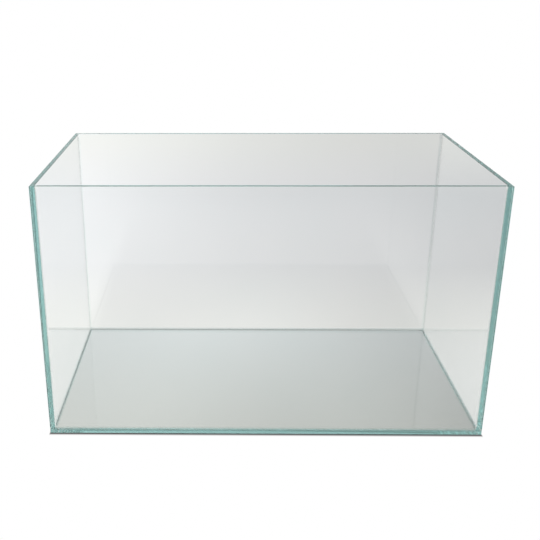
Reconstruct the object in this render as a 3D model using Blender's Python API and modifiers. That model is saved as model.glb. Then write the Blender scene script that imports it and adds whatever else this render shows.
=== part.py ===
"""Rimless glass aquarium tank: five panes of 6 mm low-iron glass, bonded and sealed with clear silicone.

Metres, +Z up. The origin is the centre of the tank's underside. The front looks towards -Y.
The walls stand on the base pane, and the end panes are held between the front and back panes.
"""
import math

import bmesh
import bpy
from mathutils import Vector

# Driving dimensions
LENGTH = 0.600
DEPTH = 0.300
HEIGHT = 0.360
GLASS = 0.006
ARRIS = 0.0006
JOINT = 0.0012
CLEARANCE = 0.0003
BEAD_LEG = 0.0018
BEAD_TOP_DROP = 0.0020

# How hollow a seal bead is: its cove is an arc centred this many legs out from the corner
COVE_CENTRE = 1.7
COVE_STEPS = 4

GLASS_COLOUR = (0.78, 0.91, 0.89, 1.0)
BOND_COLOUR = (0.62, 0.76, 0.74, 1.0)
BEAD_COLOUR = (0.82, 0.87, 0.87, 1.0)

# Where the joints put each face
HALF_LENGTH = LENGTH / 2
HALF_DEPTH = DEPTH / 2
INNER_X = HALF_LENGTH - GLASS
INNER_Y = HALF_DEPTH - GLASS
END_PANE_Y = INNER_Y - JOINT
WALL_FOOT = GLASS + JOINT


def empty_scene():
    """Removes whatever the scene holds."""
    for thing in list(bpy.data.objects):
        bpy.data.objects.remove(thing, do_unlink=True)


def new_collection(name):
    group = bpy.data.collections.new(name)
    bpy.context.scene.collection.children.link(group)
    return group


def give_material(piece, colour, roughness, clear):
    """Each piece has its own material, named for it."""
    material = bpy.data.materials.new(piece.name + "_material")
    material.use_nodes = True
    shader = material.node_tree.nodes["Principled BSDF"]
    shader.inputs["Base Color"].default_value = colour
    shader.inputs["Roughness"].default_value = roughness
    shader.inputs["Metallic"].default_value = 0.0
    shader.inputs["IOR"].default_value = 1.5
    shader.inputs["Transmission Weight"].default_value = clear
    piece.data.materials.append(material)


def move_to(group, piece):
    for old in list(piece.users_collection):
        old.objects.unlink(piece)
    group.objects.link(piece)


def block(name, low, high):
    """A box between two corners, with its scale applied."""
    low = Vector(low)
    high = Vector(high)
    bpy.ops.mesh.primitive_cube_add(size=1.0, location=(low + high) / 2)
    piece = bpy.context.object
    piece.name = name
    piece.scale = high - low
    bpy.ops.object.transform_apply(location=False, rotation=False, scale=True)
    return piece


def pane(group, name, low, high):
    """A sheet of glass with a ground arris along every edge."""
    piece = block(name, low, high)
    arris = piece.modifiers.new("arris", "BEVEL")
    arris.width = ARRIS
    arris.segments = 1
    arris.limit_method = "NONE"
    give_material(piece, GLASS_COLOUR, 0.03, 0.95)
    move_to(group, piece)


def bond(group, name, low, high):
    """A strip of structural silicone that fills a joint, clear of the glass all round."""
    inset = Vector((CLEARANCE, CLEARANCE, CLEARANCE))
    piece = block(name, Vector(low) + inset, Vector(high) - inset)
    give_material(piece, BOND_COLOUR, 0.35, 0.5)
    move_to(group, piece)


def cove_outline():
    """Half of a bead's section, from the corner out along one leg and round to its middle."""
    centre = COVE_CENTRE * BEAD_LEG
    radius = math.hypot(centre - BEAD_LEG, centre)
    start = math.atan2(-centre, BEAD_LEG - centre)
    end = math.atan2(-1.0, -1.0)
    points = []
    for step in range(COVE_STEPS + 1):
        angle = start + (end - start) * step / COVE_STEPS
        points.append((centre + radius * math.cos(angle), centre + radius * math.sin(angle)))
    return points


def bead_section():
    """A seal bead's section: two legs along the glass and a hollow face between them."""
    half = cove_outline()
    mirrored = [(v, u) for u, v in reversed(half[:-1])]
    return [(0.0, 0.0)] + half + mirrored


def trim(mesh, point, normal):
    """Cuts off what lies beyond a plane, and closes the cut."""
    everything = mesh.verts[:] + mesh.edges[:] + mesh.faces[:]
    cut = bmesh.ops.bisect_plane(
        mesh, geom=everything, plane_co=point, plane_no=normal, clear_outer=True, dist=1e-7
    )
    edges = [part for part in cut["geom_cut"] if isinstance(part, bmesh.types.BMEdge)]
    bmesh.ops.edgenet_fill(mesh, edges=edges)


def bead(group, name, corner, along, first, second, run, mitres):
    """A run of sealant in a corner.

    It starts at corner and runs along for run metres, with its legs towards first and second.
    Each mitre is a point and an outward direction of a plane that trims the run.
    """
    corner, along = Vector(corner), Vector(along)
    first, second = Vector(first), Vector(second)
    start = corner + (first + second) * CLEARANCE
    mesh = bmesh.new()
    ring = [mesh.verts.new(start + first * u + second * v) for u, v in bead_section()]
    section = mesh.faces.new(ring)
    swept = bmesh.ops.extrude_face_region(mesh, geom=[section])
    moved = [part for part in swept["geom"] if isinstance(part, bmesh.types.BMVert)]
    bmesh.ops.translate(mesh, verts=moved, vec=along * run)
    for point, normal in mitres:
        trim(mesh, Vector(point), Vector(normal).normalized())
    bmesh.ops.recalc_face_normals(mesh, faces=mesh.faces[:])
    data = bpy.data.meshes.new(name)
    mesh.to_mesh(data)
    mesh.free()
    piece = bpy.data.objects.new(name, data)
    give_material(piece, BEAD_COLOUR, 0.25, 0.8)
    group.objects.link(piece)


def mitre_planes(corner, along, others):
    """The two planes that share a three-way corner fairly between this run and its two neighbours."""
    corner, along = Vector(corner), Vector(along)
    planes = []
    for other in others:
        normal = (Vector(other) - along).normalized()
        planes.append((corner - normal * CLEARANCE, normal))
    return planes


def make_panes(group):
    pane(group, "base_pane", (-HALF_LENGTH, -HALF_DEPTH, 0), (HALF_LENGTH, HALF_DEPTH, GLASS))
    for name, side in (("front_pane", -1), ("back_pane", 1)):
        inner, outer = side * INNER_Y, side * HALF_DEPTH
        low = (-HALF_LENGTH, min(inner, outer), WALL_FOOT)
        high = (HALF_LENGTH, max(inner, outer), HEIGHT)
        pane(group, name, low, high)
    for name, side in (("left_pane", -1), ("right_pane", 1)):
        inner, outer = side * INNER_X, side * HALF_LENGTH
        low = (min(inner, outer), -END_PANE_Y, WALL_FOOT)
        high = (max(inner, outer), END_PANE_Y, HEIGHT)
        pane(group, name, low, high)


def make_bonds(group):
    """Structural silicone: one strip under each wall and one at each vertical joint."""
    for name, side in (("front", -1), ("back", 1)):
        low = (-HALF_LENGTH, min(side * INNER_Y, side * HALF_DEPTH), GLASS)
        high = (HALF_LENGTH, max(side * INNER_Y, side * HALF_DEPTH), WALL_FOOT)
        bond(group, name + "_base_bond", low, high)
    for name, side in (("left", -1), ("right", 1)):
        inner, outer = side * INNER_X, side * HALF_LENGTH
        low = (min(inner, outer), -INNER_Y, GLASS)
        high = (max(inner, outer), INNER_Y, WALL_FOOT)
        bond(group, name + "_base_bond", low, high)
        for end, face in (("front", -1), ("back", 1)):
            near, far = face * END_PANE_Y, face * INNER_Y
            low = (min(inner, outer), min(near, far), WALL_FOOT)
            high = (max(inner, outer), max(near, far), HEIGHT - ARRIS)
            bond(group, end + "_" + name + "_bond", low, high)


def make_beads(group):
    """Inner seal: one bead along each side of the base and one up each corner."""
    up = Vector((0, 0, 1))
    run_x, run_y = 2 * INNER_X, 2 * INNER_Y
    for name, side in (("front", -1), ("back", 1)):
        inward = Vector((0, -side, 0))
        left = Vector((-INNER_X, side * INNER_Y, GLASS))
        right = Vector((INNER_X, side * INNER_Y, GLASS))
        along = Vector((1, 0, 0))
        cuts = mitre_planes(left, along, (inward, up)) + mitre_planes(right, -along, (inward, up))
        bead(group, name + "_base_bead", left, along, inward, up, run_x, cuts)
    for name, side in (("left", -1), ("right", 1)):
        inward = Vector((-side, 0, 0))
        front = Vector((side * INNER_X, -INNER_Y, GLASS))
        back = Vector((side * INNER_X, INNER_Y, GLASS))
        along = Vector((0, 1, 0))
        cuts = mitre_planes(front, along, (inward, up)) + mitre_planes(back, -along, (inward, up))
        bead(group, name + "_base_bead", front, along, inward, up, run_y, cuts)
        for end, face, foot in (("front", -1, front), ("back", 1, back)):
            across = Vector((0, -face, 0))
            cuts = mitre_planes(foot, up, (inward, across))
            run_z = HEIGHT - GLASS - BEAD_TOP_DROP
            bead(group, end + "_" + name + "_bead", foot, up, inward, across, run_z, cuts)


def main():
    empty_scene()
    tank = new_collection("glass_aquarium_tank")
    make_panes(tank)
    make_bonds(tank)
    make_beads(tank)


main()
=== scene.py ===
"""Looks of the rimless aquarium tank: glass, silicone joints, a white floor, soft light and a camera.

Metres, +Z up, the front looks towards -Y. The glass is physically based: light bends through it, is
mirrored on its faces, and turns teal where it travels far inside a pane, which is what tints the edges.
"""
import math

import bmesh
import bpy
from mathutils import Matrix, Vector, noise


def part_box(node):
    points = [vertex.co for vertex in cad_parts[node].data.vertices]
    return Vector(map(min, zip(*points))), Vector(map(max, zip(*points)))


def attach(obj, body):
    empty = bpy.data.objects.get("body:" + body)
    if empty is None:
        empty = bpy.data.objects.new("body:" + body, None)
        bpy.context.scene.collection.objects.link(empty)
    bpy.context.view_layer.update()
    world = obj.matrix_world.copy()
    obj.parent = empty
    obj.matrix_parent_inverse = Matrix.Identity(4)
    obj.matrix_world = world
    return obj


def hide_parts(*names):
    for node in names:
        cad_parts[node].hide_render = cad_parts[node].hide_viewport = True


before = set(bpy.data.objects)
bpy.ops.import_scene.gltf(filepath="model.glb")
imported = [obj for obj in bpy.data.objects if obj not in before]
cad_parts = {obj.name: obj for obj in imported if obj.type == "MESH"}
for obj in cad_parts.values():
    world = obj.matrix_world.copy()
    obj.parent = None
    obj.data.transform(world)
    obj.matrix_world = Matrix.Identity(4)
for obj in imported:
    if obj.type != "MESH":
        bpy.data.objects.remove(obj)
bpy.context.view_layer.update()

SCENE = bpy.context.scene
WHITE = (1.0, 1.0, 1.0)

# The panes, each with the axis that it is thin along
THICKNESS_AXES = {"base_pane": 2, "front_pane": 1, "back_pane": 1, "left_pane": 0, "right_pane": 0}

# Points closer than this are one point, and a face this square to an axis is flat
WELD_DISTANCE = 1e-7
FLAT_ENOUGH = 0.9999

# Glass
ARRIS = 0.0006
ARRIS_STEPS = 3
GLASS_IOR = 1.52
# Low-iron glass takes most from red and least from green, so a long path looks teal
ABSORPTION_COLOUR = (0.645, 0.83, 0.82)
ABSORPTION_PER_METRE = 9.6

# Silicone. Clear silicone bends light a little less than this. A value nearer to glass makes the
# joint lines fainter
SILICONE_IOR = 1.44
GLASS_IN_SILICONE_IOR = GLASS_IOR / SILICONE_IOR
# The CAD keeps this gap round each silicone piece. Here silicone fills all but a hair of it
CAD_GAP = 0.0003
HAIR = 0.00002
# A run of silicone has a ring of points about this often
STATION_GAP = 0.004
# How far a joint's open side draws in
MENISCUS = 0.0006
# A bead's hollow face is an arc whose centre is this many legs out from the corner
COVE_CENTRE = 1.7
COVE_STEPS = 8
# How thick an open bead's very end is, as a share of the bead
BEAD_TIP = 0.2
BEAD_SHARP_ANGLE = math.radians(35)
# Silicone wanders along its run: how long a wander is, and its share of a bead and of a meniscus
WAVER_SIZE = 0.03
WAVER_SHARE = 0.07
MENISCUS_WAVER_SHARE = 0.5
# Each run wanders in its own way, by its number. The corner beads are numbered from here
WAVER_SEED_STEP = 7.3
CORNER_BEAD_SEED = 10

# What a pane's faces are marked with: each mark is 1 or 0 on a face
FINISHES = ("cut", "arris", "wetted")

# How fine each finish's noise is: a larger number is finer
FILM_FINENESS = 9.0
PATCH_FINENESS = 35.0
CHIP_FINENESS = 260.0
POLISH_LINE_FINENESS = 900.0
GRAIN_FINENESS = 2500.0
CLOUD_FINENESS = 120.0
DIMPLE_FINENESS = 700.0
# How fine the polish lines' noise is along an edge, compared with across it
LINE_STRETCH = 0.02
# How rough a polished cut and a ground arris are, from their smoothest places to their roughest
POLISHED_ROUGHNESS = (0.01, 0.05)
GROUND_ROUGHNESS = (0.08, 0.20)
# How rough silicone's free face is, and how its cloud changes that where it is dark and where it is light
BOND_ROUGHNESS = 0.12
BEAD_ROUGHNESS = 0.08
DARK_CLOUD_ROUGHNESS = 1.4
LIGHT_CLOUD_ROUGHNESS = 0.6
# The depth of the relief on a pane's edges and on silicone, and how strongly it shows
EDGE_RELIEF = 0.000004
EDGE_RELIEF_STRENGTH = 0.25
DIMPLE_RELIEF = 0.00001
DIMPLE_RELIEF_STRENGTH = 0.4

SIDES = ("front", "back", "left", "right")
CORNERS = [(end, side) for end in ("front", "back") for side in ("left", "right")]
PANES = tuple(THICKNESS_AXES)
BONDS = [side + "_base_bond" for side in SIDES] + [f"{end}_{side}_bond" for end, side in CORNERS]
BEADS = [side + "_base_bead" for side in SIDES] + [f"{end}_{side}_bead" for end, side in CORNERS]

# Camera
EYE = Vector((-0.0578, -1.0026, 0.6189))
EYE_ROTATION = (71.45, 0.22, 0.76)
LENS = 48.04
LENS_SHIFT = (0.1042, -0.1159)
# Many, because light can be caught inside a pane for long
BOUNCES = 64

# Stage. The backdrop is pure white where it is seen directly. Glass shows its softer tones, which are
# listed below and mostly fall off from left to right
# Those softer tones are painted light and shade, standing in for how the light falls on the floor
FLOOR_DROP = 0.0006
FLOOR_RADIUS = 8.0
FLOOR_CORNERS = 64
# The painted contact shadow, a dark line where the tank meets the floor: its tone, and its reach in front
# and at the sides. The glass shows the same painted shadow along the back, lighter
CONTACT_SHADOW_TONE = 0.08
CONTACT_SHADOW_REACH = 0.0052
SIDE_CONTACT_SHADOW = 0.0015
BACK_CONTACT_SHADOW_TONE = 0.35
BACK_CONTACT_SHADOW_REACH = 0.006
# How wide the blend is from the floor under the tank to the floor round it
UNDER_BLUR = 0.004
# The floor takes on the sky's tones between these distances
FAR_FLOOR_NEAR = 2.5
FAR_FLOOR_FAR = 6.0
# A bearing is how far a place lies sideways from the eye, over how far it lies forwards. The tones
# behind the tank and in the sky run evenly from the left bearing to the right one
LEFT_BEARING = -0.30
RIGHT_BEARING = 0.42
# A place counts as at least this far forwards, also when it lies beside the eye or behind it
LEAST_FORWARDS = 0.4
# The floor's rows behind the tank, in painted light and shade: how far back each one lies, its tones and its
# tint
FLOOR_LIGHT_ROWS = (
    (0.00, (1.24, 1.00, 0.90, 0.85, 0.91), (1.01, 1.0, 0.98)),
    (0.17, (1.12, 0.90, 1.00, 0.73, 0.82), (1.015, 1.0, 0.97)),
    (0.45, (1.02, 0.90, 0.79, 0.715, 0.56), (1.01, 1.0, 1.01)),
    (0.95, (1.11, 0.86, 0.72, 0.69, 0.54), (1.0, 1.0, 1.015)),
    (1.60, (1.06, 0.92, 0.77, 0.68, 0.71), (1.0, 1.0, 0.97)),
)
# The floor's rows in front of the tank, darker with painted shade. From the front they are only seen
# mirrored in the glass. Their tones, and those under the tank, run from its left end to its right end
FRONT_SHADE_ROWS = (
    (-0.60, (0.75, 0.75), (1.01, 1.0, 0.99)),
    (-1.30, (0.58, 0.58), (1.01, 1.0, 1.04)),
)
# The floor under the tank, darker with painted shade: a row along its front and one along its back
UNDER_SHADE_ROWS = (
    (-0.15, (0.565, 0.615, 0.48, 0.50, 0.31), (0.975, 1.0, 0.935)),
    (0.15, (0.65, 0.755, 0.71, 0.58, 0.46), (0.95, 1.0, 1.0)),
)
SKY_TONES = (1.06, 0.83, 0.79, 0.75, 0.65)
# The tank's soft shade on the floor behind it: how much light it takes at its left and right, how far
# back it reaches, and how soft its sides are
SHADE_LEFT = 0.13
SHADE_RIGHT = 0.09
SHADE_REACH = 0.75
SHADE_BLUR = 0.025


def box_size(node):
    """A node's lowest corner, highest corner and size."""
    low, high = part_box(node)
    return low, high, high - low


def grown_box(node, by):
    """A node's box with a margin added on every side."""
    low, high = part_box(node)
    margin = Vector((by, by, by))
    return low - margin, high + margin


# ---------------------------------------------------------------- node helpers

class Nodes:
    """A material's or world's node tree, with short calls to add and link nodes."""

    def __init__(self, owner):
        owner.use_nodes = True
        self.tree = owner.node_tree
        self.tree.nodes.clear()

    def add(self, kind, **settings):
        node = self.tree.nodes.new("ShaderNode" + kind)
        for name, value in settings.items():
            setattr(node, name, value)
        return node

    def link(self, source, target):
        self.tree.links.new(source, target)

    def feed(self, value, target):
        """Sets an input from a plain value or links it from a socket."""
        if isinstance(value, bpy.types.NodeSocket):
            self.link(value, target)
        else:
            target.default_value = value

    def math(self, operation, first, second=0.0):
        node = self.add("Math", operation=operation)
        self.feed(first, node.inputs[0])
        self.feed(second, node.inputs[1])
        return node.outputs[0]

    def remap(self, value, low, high, to_low, to_high, smooth=False):
        kind = "SMOOTHSTEP" if smooth else "LINEAR"
        node = self.add("MapRange", interpolation_type=kind)
        limits = {"From Min": low, "From Max": high, "To Min": to_low, "To Max": to_high}
        for name, number in limits.items():
            node.inputs[name].default_value = number
        self.feed(value, node.inputs["Value"])
        return node.outputs["Result"]

    def mix(self, share, first, second):
        node = self.add("Mix", data_type="RGBA")
        self.feed(share, node.inputs[0])
        for value, target in ((first, node.inputs[6]), (second, node.inputs[7])):
            self.feed(value if isinstance(value, bpy.types.NodeSocket) else (*value, 1.0), target)
        return node.outputs[2]

    def scale(self, colour, by):
        node = self.add("VectorMath", operation="SCALE")
        self.feed(colour, node.inputs[0])
        self.feed(by, node.inputs["Scale"])
        return node.outputs[0]

    def noise(self, scale, detail, stretch=(1.0, 1.0, 1.0)):
        """Noise in the object's own metres, finer along the axes with a larger stretch."""
        place = self.add("TexCoord").outputs["Object"]
        mapping = self.add("Mapping")
        mapping.inputs["Scale"].default_value = stretch
        self.link(place, mapping.inputs["Vector"])
        node = self.add("TexNoise")
        node.inputs["Scale"].default_value = scale
        node.inputs["Detail"].default_value = detail
        self.link(mapping.outputs["Vector"], node.inputs["Vector"])
        return node.outputs["Fac"]

    def attribute(self, name):
        return self.add("Attribute", attribute_name=name).outputs["Fac"]

    def bump(self, height, distance, strength):
        node = self.add("Bump")
        node.inputs["Strength"].default_value = strength
        node.inputs["Distance"].default_value = distance
        self.link(height, node.inputs["Height"])
        return node.outputs["Normal"]


# ---------------------------------------------------------------- materials

def clear_material(name, ior, colour, roughness):
    """A see-through Principled material. Returns it with its node helper, shader and output."""
    material = bpy.data.materials.new(name)
    nodes = Nodes(material)
    output = nodes.add("OutputMaterial")
    shader = nodes.add("BsdfPrincipled")
    shader.inputs["IOR"].default_value = ior
    shader.inputs["Transmission Weight"].default_value = 1.0
    shader.inputs["Roughness"].default_value = roughness
    shader.inputs["Base Color"].default_value = (*colour, 1.0)
    nodes.link(shader.outputs[0], output.inputs["Surface"])
    return material, nodes, shader, output


def pane_glass(thin):
    """Glass for a pane that is thin along one axis, in one material so that its body stays whole.

    Faces are clear with a trace of a wiped film. Cut edges are polished, with fine lines round the
    pane, and arrises are ground. Where silicone has cured on, light passes almost straight on.
    """
    material, nodes, shader, output = clear_material("pane_glass_" + "xyz"[thin], GLASS_IOR, WHITE, 0.0)
    cut, arris, wetted = (nodes.attribute(name) for name in FINISHES)

    film = nodes.remap(nodes.noise(FILM_FINENESS, detail=4.0), 0.35, 0.75, 0.0, 1.0)
    patches = nodes.remap(nodes.noise(PATCH_FINENESS, detail=3.0), 0.3, 0.7, 0.0, 1.0)
    chips = nodes.remap(nodes.noise(CHIP_FINENESS, detail=1.0), 0.3, 0.7, 0.0, 1.0)
    face_tint = nodes.mix(film, WHITE, (0.985, 0.992, 0.992))
    cut_tint = nodes.mix(patches, (0.95, 0.99, 0.98), WHITE)
    arris_tint = nodes.mix(chips, (0.90, 0.96, 0.95), (0.98, 1.0, 0.995))
    wetted_tint = nodes.mix(patches, (0.95, 0.975, 0.97), (0.99, 1.0, 0.995))
    tint = nodes.mix(cut, face_tint, cut_tint)
    tint = nodes.mix(arris, tint, arris_tint)
    nodes.link(nodes.mix(wetted, tint, wetted_tint), shader.inputs["Base Color"])

    cut_roughness = nodes.math("MULTIPLY", cut, nodes.remap(patches, 0.0, 1.0, *POLISHED_ROUGHNESS))
    arris_roughness = nodes.math("MULTIPLY", arris, nodes.remap(chips, 0.0, 1.0, *GROUND_ROUGHNESS))
    roughness = nodes.math("ADD", cut_roughness, arris_roughness)
    nodes.link(roughness, shader.inputs["Roughness"])

    ior = nodes.remap(wetted, 0.0, 1.0, GLASS_IOR, GLASS_IN_SILICONE_IOR)
    nodes.link(ior, shader.inputs["IOR"])

    stretch = [LINE_STRETCH] * 3
    stretch[thin] = 1.0
    polish = nodes.noise(POLISH_LINE_FINENESS, detail=3.0, stretch=stretch)
    lines = nodes.math("MULTIPLY", cut, polish)
    grain = nodes.math("MULTIPLY", arris, nodes.noise(GRAIN_FINENESS, detail=4.0))
    relief = nodes.math("ADD", lines, grain)
    nodes.link(nodes.bump(relief, EDGE_RELIEF, EDGE_RELIEF_STRENGTH), shader.inputs["Normal"])

    volume = nodes.add("VolumeAbsorption")
    volume.inputs["Color"].default_value = (*ABSORPTION_COLOUR, 1.0)
    volume.inputs["Density"].default_value = ABSORPTION_PER_METRE
    nodes.link(volume.outputs[0], output.inputs["Volume"])
    return material


def silicone_cloud(nodes):
    """The faint cloud in clear silicone, from 0 where it is dark to 1 where it is light."""
    return nodes.remap(nodes.noise(CLOUD_FINENESS, detail=3.0), 0.3, 0.7, 0.0, 1.0)


def silicone_skin(name, light, dark, roughness):
    """The free face of clear cured silicone: smooth and soft, over a faintly cloudy body."""
    material, nodes, shader, _ = clear_material(name, SILICONE_IOR, light, roughness)
    cloud = silicone_cloud(nodes)
    dimples = nodes.noise(DIMPLE_FINENESS, detail=2.0)
    nodes.link(nodes.mix(cloud, dark, light), shader.inputs["Base Color"])
    in_dark = roughness * DARK_CLOUD_ROUGHNESS
    in_light = roughness * LIGHT_CLOUD_ROUGHNESS
    nodes.link(nodes.remap(cloud, 0.0, 1.0, in_dark, in_light), shader.inputs["Roughness"])
    nodes.link(nodes.bump(dimples, DIMPLE_RELIEF, DIMPLE_RELIEF_STRENGTH), shader.inputs["Normal"])
    return material


def silicone_contact(name, light, dark):
    """Where silicone lies on glass or on more silicone: no face of its own, only a faint cloud."""
    material, nodes, shader, _ = clear_material(name, 1.0, light, 0.0)
    nodes.link(nodes.mix(silicone_cloud(nodes), dark, light), shader.inputs["Base Color"])
    return material


# ---------------------------------------------------------------- pieces

def new_piece(name, mesh, materials, nodes_replaced):
    """Makes an object from a bmesh, and ties it to the CAD node it stands for."""
    data = bpy.data.meshes.new(name)
    mesh.to_mesh(data)
    mesh.free()
    piece = bpy.data.objects.new(name, data)
    SCENE.collection.objects.link(piece)
    for material in materials:
        data.materials.append(material)
    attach(piece, "root")
    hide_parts(nodes_replaced)
    return piece


def silicone_near(node):
    """The silicone pieces that lie against a pane, as boxes that reach just into it."""
    low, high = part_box(node)
    boxes = [grown_box(name, CAD_GAP + HAIR) for name in BONDS + BEADS]
    return [box for box in boxes if all(box[0][n] < high[n] and box[1][n] > low[n] for n in range(3))]


def inside(point, box):
    return all(box[0][n] < point[n] < box[1][n] for n in range(3))


def cut_round(mesh, boxes, low, high):
    """Cuts a pane's faces where the silicone on them ends."""
    for axis in range(3):
        direction = Vector([float(n == axis) for n in range(3)])
        places = {round(corner[axis], 6) for box in boxes for corner in box}
        for place in sorted(places):
            if low[axis] + ARRIS < place < high[axis] - ARRIS:
                everything = mesh.verts[:] + mesh.edges[:] + mesh.faces[:]
                bmesh.ops.bisect_plane(
                    mesh, geom=everything, dist=WELD_DISTANCE,
                    plane_co=direction * place, plane_no=direction
                )


def pane(node, material):
    """A sheet of glass: clear faces, polished edges, ground arrises, and silicone where it is bonded."""
    low, high, size = box_size(node)
    thin = THICKNESS_AXES[node]
    mesh = bmesh.new()
    bmesh.ops.create_cube(mesh, size=1.0)
    bmesh.ops.scale(mesh, vec=size, verts=mesh.verts)
    bmesh.ops.translate(mesh, vec=(low + high) / 2, verts=mesh.verts)
    bmesh.ops.bevel(
        mesh, geom=mesh.edges[:], offset=ARRIS, segments=ARRIS_STEPS, profile=0.5, affect="EDGES"
    )
    boxes = silicone_near(node)
    cut_round(mesh, boxes, low, high)
    mesh.normal_update()
    marks = {name: mesh.faces.layers.float.new(name) for name in FINISHES}
    for face in mesh.faces:
        axis = max(range(3), key=lambda number: abs(face.normal[number]))
        if any(inside(face.calc_center_median(), box) for box in boxes):
            face[marks["wetted"]] = 1.0
        elif abs(face.normal[axis]) < FLAT_ENOUGH:
            face[marks["arris"]] = 1.0
        elif axis != thin:
            face[marks["cut"]] = 1.0
    new_piece(node + "_glass", mesh, [material], node)


def waver(place, seed):
    """A slow wander along a run of silicone, from -1 to 1."""
    return noise.noise(Vector((place / WAVER_SIZE, seed * WAVER_SEED_STEP, 0.5)))


def loft(mesh, rings, in_contact):
    """Skins a row of rings with the same number of points, and closes both ends.

    in_contact says of each step round a ring whether its faces lie against something.
    """
    made = [[mesh.verts.new(point) for point in ring] for ring in rings]
    count = len(made[0])
    for near, far in zip(made, made[1:]):
        for step in range(count):
            after = (step + 1) % count
            face = mesh.faces.new((near[step], near[after], far[after], far[step]))
            face.material_index = int(in_contact[step])
    return mesh.faces.new(made[0][::-1]), mesh.faces.new(made[-1])


def stations(length):
    count = max(2, round(length / STATION_GAP))
    return [length * step / count for step in range(count + 1)]


def bond(node, materials, seed):
    """A strip of structural silicone whose open side draws in to a meniscus."""
    low, high = grown_box(node, CAD_GAP - HAIR)
    size = high - low
    thick, wide, long = sorted(range(3), key=lambda axis: size[axis])
    outer_is_low = low[wide] + high[wide] < 0
    levels = (0.0, 0.25, 0.5, 0.75, 1.0)
    rings = []
    for place in stations(size[long]):
        pull = MENISCUS * (1.0 + MENISCUS_WAVER_SHARE * waver(place, seed))
        ring = []
        for level in levels:
            inset = pull * (1.0 - (2.0 * level - 1.0) ** 2)
            point = low.copy()
            point[long] += place
            point[thick] += size[thick] * level
            point[wide] = low[wide] + inset if outer_is_low else high[wide] - inset
            ring.append(point)
        for level in (1.0, 0.0):
            point = low.copy()
            point[long] += place
            point[thick] += size[thick] * level
            point[wide] = high[wide] if outer_is_low else low[wide]
            ring.append(point)
        rings.append(ring)
    mesh = bmesh.new()
    loft(mesh, rings, [step >= len(levels) - 1 for step in range(len(levels) + 2)])
    bmesh.ops.recalc_face_normals(mesh, faces=mesh.faces[:])
    new_piece(node + "_silicone", mesh, materials, node)


def cove_section(leg):
    """Points of a bead's section: its corner, then round the hollow face from one leg to the other."""
    centre = COVE_CENTRE * leg
    radius = math.hypot(centre - leg, centre)
    middle = math.radians(-135)
    half_turn = middle - math.atan2(-centre, leg - centre)
    points = [(HAIR, HAIR)]
    for step in range(-COVE_STEPS, COVE_STEPS + 1):
        angle = middle + half_turn * step / COVE_STEPS
        u = centre + radius * math.cos(angle)
        v = centre + radius * math.sin(angle)
        points.append((max(u, HAIR), max(v, HAIR)))
    return points


def bead(node, corner, run, inward, leg, open_top, materials, seed):
    """A run of sealant in an inner corner, wiped hollow, a little uneven along its length.

    Where it meets two other runs its end is a mitre: each point stops where its run would
    leave the neighbours' share of the corner.
    """
    direction = run.normalized()
    length = run.length
    rings = []
    for place in stations(length):
        swell = 1.0 - WAVER_SHARE * (0.5 + 0.5 * waver(place, seed))
        if open_top:
            near_top = 1.0 - min(1.0, (length - place) / leg)
            swell *= BEAD_TIP + (1.0 - BEAD_TIP) * math.sqrt(1.0 - near_top ** 2)
        ring = []
        for u, v in cove_section(leg * swell):
            mitre = max(u, v) + HAIR
            reach = max(place, mitre)
            if not open_top:
                reach = min(reach, length - mitre)
            ring.append(corner + direction * reach + inward[0] * u + inward[1] * v)
        rings.append(ring)
    mesh = bmesh.new()
    round_ring = len(rings[0])
    foot, top = loft(mesh, rings, [step in (0, round_ring - 1) for step in range(round_ring)])
    foot.material_index = 1
    top.material_index = int(not open_top)
    bmesh.ops.remove_doubles(mesh, verts=mesh.verts, dist=WELD_DISTANCE)
    bmesh.ops.recalc_face_normals(mesh, faces=mesh.faces[:])
    for face in mesh.faces:
        face.smooth = True
    piece = new_piece(node + "_silicone", mesh, materials, node)
    piece.data.set_sharp_from_angle(angle=BEAD_SHARP_ANGLE)


def make_panes():
    glass = [pane_glass(thin) for thin in range(3)]
    for node in PANES:
        pane(node, glass[THICKNESS_AXES[node]])


def make_bonds():
    light, dark = (0.985, 0.995, 0.99), (0.95, 0.97, 0.965)
    materials = [
        silicone_skin("joint_skin", light, dark, BOND_ROUGHNESS),
        silicone_contact("joint_contact", light, dark),
    ]
    for seed, node in enumerate(BONDS):
        bond(node, materials, seed)


def make_beads():
    light, dark = (0.985, 0.99, 0.985), (0.94, 0.955, 0.95)
    materials = [
        silicone_skin("seal_skin", light, dark, BEAD_ROUGHNESS),
        silicone_contact("seal_contact", light, dark),
    ]
    inner_low = Vector((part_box("left_pane")[1].x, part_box("front_pane")[1].y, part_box("base_pane")[1].z))
    inner_high = Vector((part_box("right_pane")[0].x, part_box("back_pane")[0].y, 0.0))
    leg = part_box("front_base_bead")[1].z - inner_low.z
    inward = {
        "front": Vector((0, 1, 0)), "back": Vector((0, -1, 0)),
        "left": Vector((1, 0, 0)), "right": Vector((-1, 0, 0)),
    }
    up = Vector((0, 0, 1))
    for seed, side in enumerate(SIDES):
        corner = inner_low.copy()
        axis = 0 if side in ("front", "back") else 1
        run = Vector((0, 0, 0))
        run[axis] = inner_high[axis] - inner_low[axis]
        if inward[side][1 - axis] < 0:
            corner[1 - axis] = inner_high[1 - axis]
        bead(side + "_base_bead", corner, run, (inward[side], up), leg, False, materials, seed)
    for seed, (end, side) in enumerate(CORNERS, CORNER_BEAD_SEED):
        node = f"{end}_{side}_bead"
        x = inner_low.x if side == "left" else inner_high.x
        y = inner_low.y if end == "front" else inner_high.y
        corner = Vector((x, y, inner_low.z))
        run = up * (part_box(node)[1].z - inner_low.z)
        bead(node, corner, run, (inward[side], inward[end]), leg, True, materials, seed)


def make_tank():
    make_panes()
    make_bonds()
    make_beads()


# ---------------------------------------------------------------- stage

def seen_directly(nodes):
    """1 where the camera looks straight at the stage, and 0 through or off the glass."""
    return nodes.add("LightPath").outputs["Is Camera Ray"]


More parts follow.
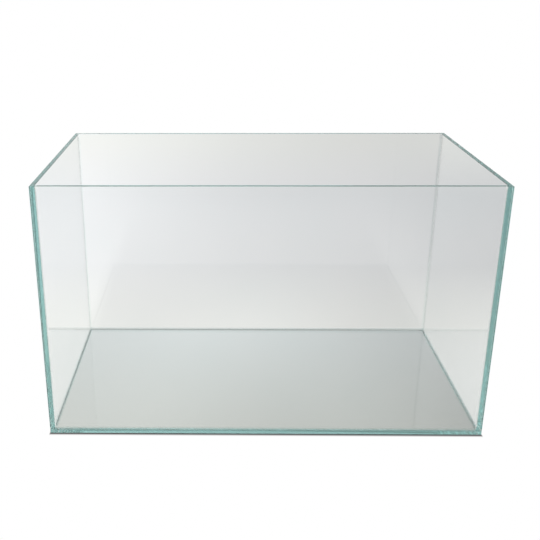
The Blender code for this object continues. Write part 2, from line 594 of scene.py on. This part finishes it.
def tone_row(nodes, place, low, high, tones, tint):
    """Blends a row of tones smoothly as place goes from low to high."""
    share = nodes.remap(place, low, high, 0.0, 1.0)
    ramp = nodes.add("ValToRGB")
    elements = ramp.color_ramp.elements
    while len(elements) < len(tones):
        elements.new(0.5)
    ramp.color_ramp.interpolation = "B_SPLINE"
    for step, tone in enumerate(tones):
        elements[step].position = step / (len(tones) - 1)
        elements[step].color = (tone, tone, tone, 1.0)
    nodes.link(share, ramp.inputs["Fac"])
    multiply = nodes.add("VectorMath", operation="MULTIPLY")
    nodes.link(ramp.outputs["Color"], multiply.inputs[0])
    multiply.inputs[1].default_value = tint
    return multiply.outputs[0]


def tone_rows(nodes, across, low, high, away, rows):
    """Blends rows of tones from one row's place to the next."""
    blended = None
    last_place = None
    for place, tones, tint in rows:
        tone = tone_row(nodes, across, low, high, tones, tint)
        if blended is None:
            blended = tone
        else:
            blended = nodes.mix(nodes.remap(away, last_place, place, 0.0, 1.0), blended, tone)
        last_place = place
    return blended


def sky(nodes, direction):
    """The far studio's tone along a direction."""
    split = nodes.add("SeparateXYZ")
    nodes.link(direction, split.inputs[0])
    return tone_row(nodes, split.outputs["X"], LEFT_BEARING, RIGHT_BEARING, SKY_TONES, WHITE)


def make_world():
    world = bpy.data.worlds.new("studio")
    SCENE.world = world
    nodes = Nodes(world)
    output = nodes.add("OutputWorld")
    background = nodes.add("Background")
    tone = sky(nodes, nodes.add("TexCoord").outputs["Generated"])
    nodes.link(nodes.mix(seen_directly(nodes), tone, WHITE), background.inputs["Color"])
    nodes.link(background.outputs[0], output.inputs["Surface"])


def shade_behind(nodes, x, y, half_length, half_depth):
    """How much light the tank's shade leaves on the floor: a strip straight back that fades away."""
    side = nodes.math("SUBTRACT", half_length, nodes.math("ABSOLUTE", x))
    across = nodes.remap(side, -SHADE_BLUR, SHADE_BLUR, 0.0, 1.0, smooth=True)
    along = nodes.remap(y, half_depth - SHADE_BLUR, half_depth, 0.0, 1.0)
    fade = nodes.remap(y, half_depth, half_depth + SHADE_REACH, 1.0, 0.0, smooth=True)
    taken = nodes.remap(x, -half_length, half_length, SHADE_LEFT, SHADE_RIGHT)
    for share in (across, along, fade):
        taken = nodes.math("MULTIPLY", taken, share)
    return nodes.math("SUBTRACT", 1.0, taken)


def floor_round(nodes, x, y, half_length, half_depth):
    """The floor round the tank, in painted light and shade."""
    forwards = nodes.math("MAXIMUM", nodes.math("SUBTRACT", y, EYE.y), LEAST_FORWARDS)
    bearing = nodes.math("DIVIDE", nodes.math("SUBTRACT", x, EYE.x), forwards)
    # Painted light: the floor behind the tank is lighter on the left and darker to the right
    behind = tone_rows(nodes, bearing, LEFT_BEARING, RIGHT_BEARING, y, FLOOR_LIGHT_ROWS)
    behind = nodes.scale(behind, shade_behind(nodes, x, y, half_length, half_depth))
    # Painted shade on the floor in front of the tank
    in_front = tone_rows(nodes, x, -half_length, half_length, y, FRONT_SHADE_ROWS)
    return nodes.mix(nodes.remap(y, FRONT_SHADE_ROWS[0][0], -half_depth, 1.0, 0.0), behind, in_front)


def floor_material(half_length, half_depth):
    """Glows as the stage's light: white from outside, softer tones of painted light and shade through the
    glass, and a painted contact shadow where the tank meets it.
    """
    material = bpy.data.materials.new("floor")
    nodes = Nodes(material)
    output = nodes.add("OutputMaterial")
    glow = nodes.add("Emission")
    geometry = nodes.add("NewGeometry")
    place = nodes.add("SeparateXYZ")
    nodes.link(geometry.outputs["Position"], place.inputs[0])
    x, y = place.outputs["X"], place.outputs["Y"]

    # Painted shade: the floor under the tank is darker
    under = tone_rows(nodes, x, -half_length, half_length, y, UNDER_SHADE_ROWS)
    out_x = nodes.math("SUBTRACT", nodes.math("ABSOLUTE", x), half_length)
    out_y = nodes.math("SUBTRACT", nodes.math("ABSOLUTE", y), half_depth)
    outside = nodes.math("MAXIMUM", out_x, out_y)
    around = floor_round(nodes, x, y, half_length, half_depth)
    through = nodes.mix(nodes.remap(outside, -UNDER_BLUR, 0.0, 0.0, 1.0), under, around)

    # Painted contact shadow along the tank's back, seen only through the glass
    from_back = nodes.math("ABSOLUTE", nodes.math("SUBTRACT", y, half_depth))
    at_back = nodes.remap(from_back, 0.0, BACK_CONTACT_SHADOW_REACH, BACK_CONTACT_SHADOW_TONE, 1.0, smooth=True)
    along_back = nodes.remap(out_x, -BACK_CONTACT_SHADOW_REACH, 0.0, 0.0, 1.0)
    through = nodes.scale(through, nodes.math("MAXIMUM", at_back, along_back))

    distance = nodes.add("VectorMath", operation="LENGTH")
    nodes.link(geometry.outputs["Position"], distance.inputs[0])
    flipped = nodes.scale(geometry.outputs["Incoming"], -1.0)
    far_away = nodes.remap(distance.outputs["Value"], FAR_FLOOR_NEAR, FAR_FLOOR_FAR, 0.0, 1.0)
    through = nodes.mix(far_away, through, sky(nodes, flipped))

    # Painted contact shadow: the floor darkens right next to the tank where it is seen directly
    at_side = nodes.remap(out_x, 0.0, SIDE_CONTACT_SHADOW, CONTACT_SHADOW_TONE, 1.0, smooth=True)
    at_front = nodes.remap(outside, 0.0, CONTACT_SHADOW_REACH, CONTACT_SHADOW_TONE, 1.0, smooth=True)
    contact = nodes.math("MAXIMUM", at_side, at_front)
    direct = nodes.scale(WHITE, contact)
    nodes.link(nodes.mix(seen_directly(nodes), through, direct), glow.inputs["Color"])
    nodes.link(glow.outputs[0], output.inputs["Surface"])
    return material


def make_floor():
    low, _, size = box_size("base_pane")
    mesh = bmesh.new()
    bmesh.ops.create_circle(mesh, cap_ends=True, segments=FLOOR_CORNERS, radius=FLOOR_RADIUS)
    bmesh.ops.translate(mesh, vec=(0, 0, low.z - FLOOR_DROP), verts=mesh.verts)
    data = bpy.data.meshes.new("floor")
    mesh.to_mesh(data)
    mesh.free()
    floor = bpy.data.objects.new("floor", data)
    SCENE.collection.objects.link(floor)
    data.materials.append(floor_material(size.x / 2, size.y / 2))


def make_camera():
    data = bpy.data.cameras.new("camera")
    camera = bpy.data.objects.new("camera", data)
    SCENE.collection.objects.link(camera)
    camera.location = EYE
    camera.rotation_euler = [math.radians(angle) for angle in EYE_ROTATION]
    data.lens = LENS
    data.shift_x, data.shift_y = LENS_SHIFT
    # The height sets the field of view. The width only tells a turned view how far to stand back,
    # and a smaller one leaves room for the shift
    data.sensor_fit = "VERTICAL"
    data.sensor_height = 36.0
    data.sensor_width = 29.0
    data.clip_start = 0.01
    SCENE.camera = camera


def make_view():
    """Plain colours, and many bounces."""
    SCENE.view_settings.view_transform = "Standard"
    SCENE.cycles.max_bounces = BOUNCES
    SCENE.cycles.glossy_bounces = BOUNCES
    SCENE.cycles.transmission_bounces = BOUNCES
    SCENE.cycles.transparent_max_bounces = 32


make_tank()
make_world()
make_floor()
make_camera()
make_view()
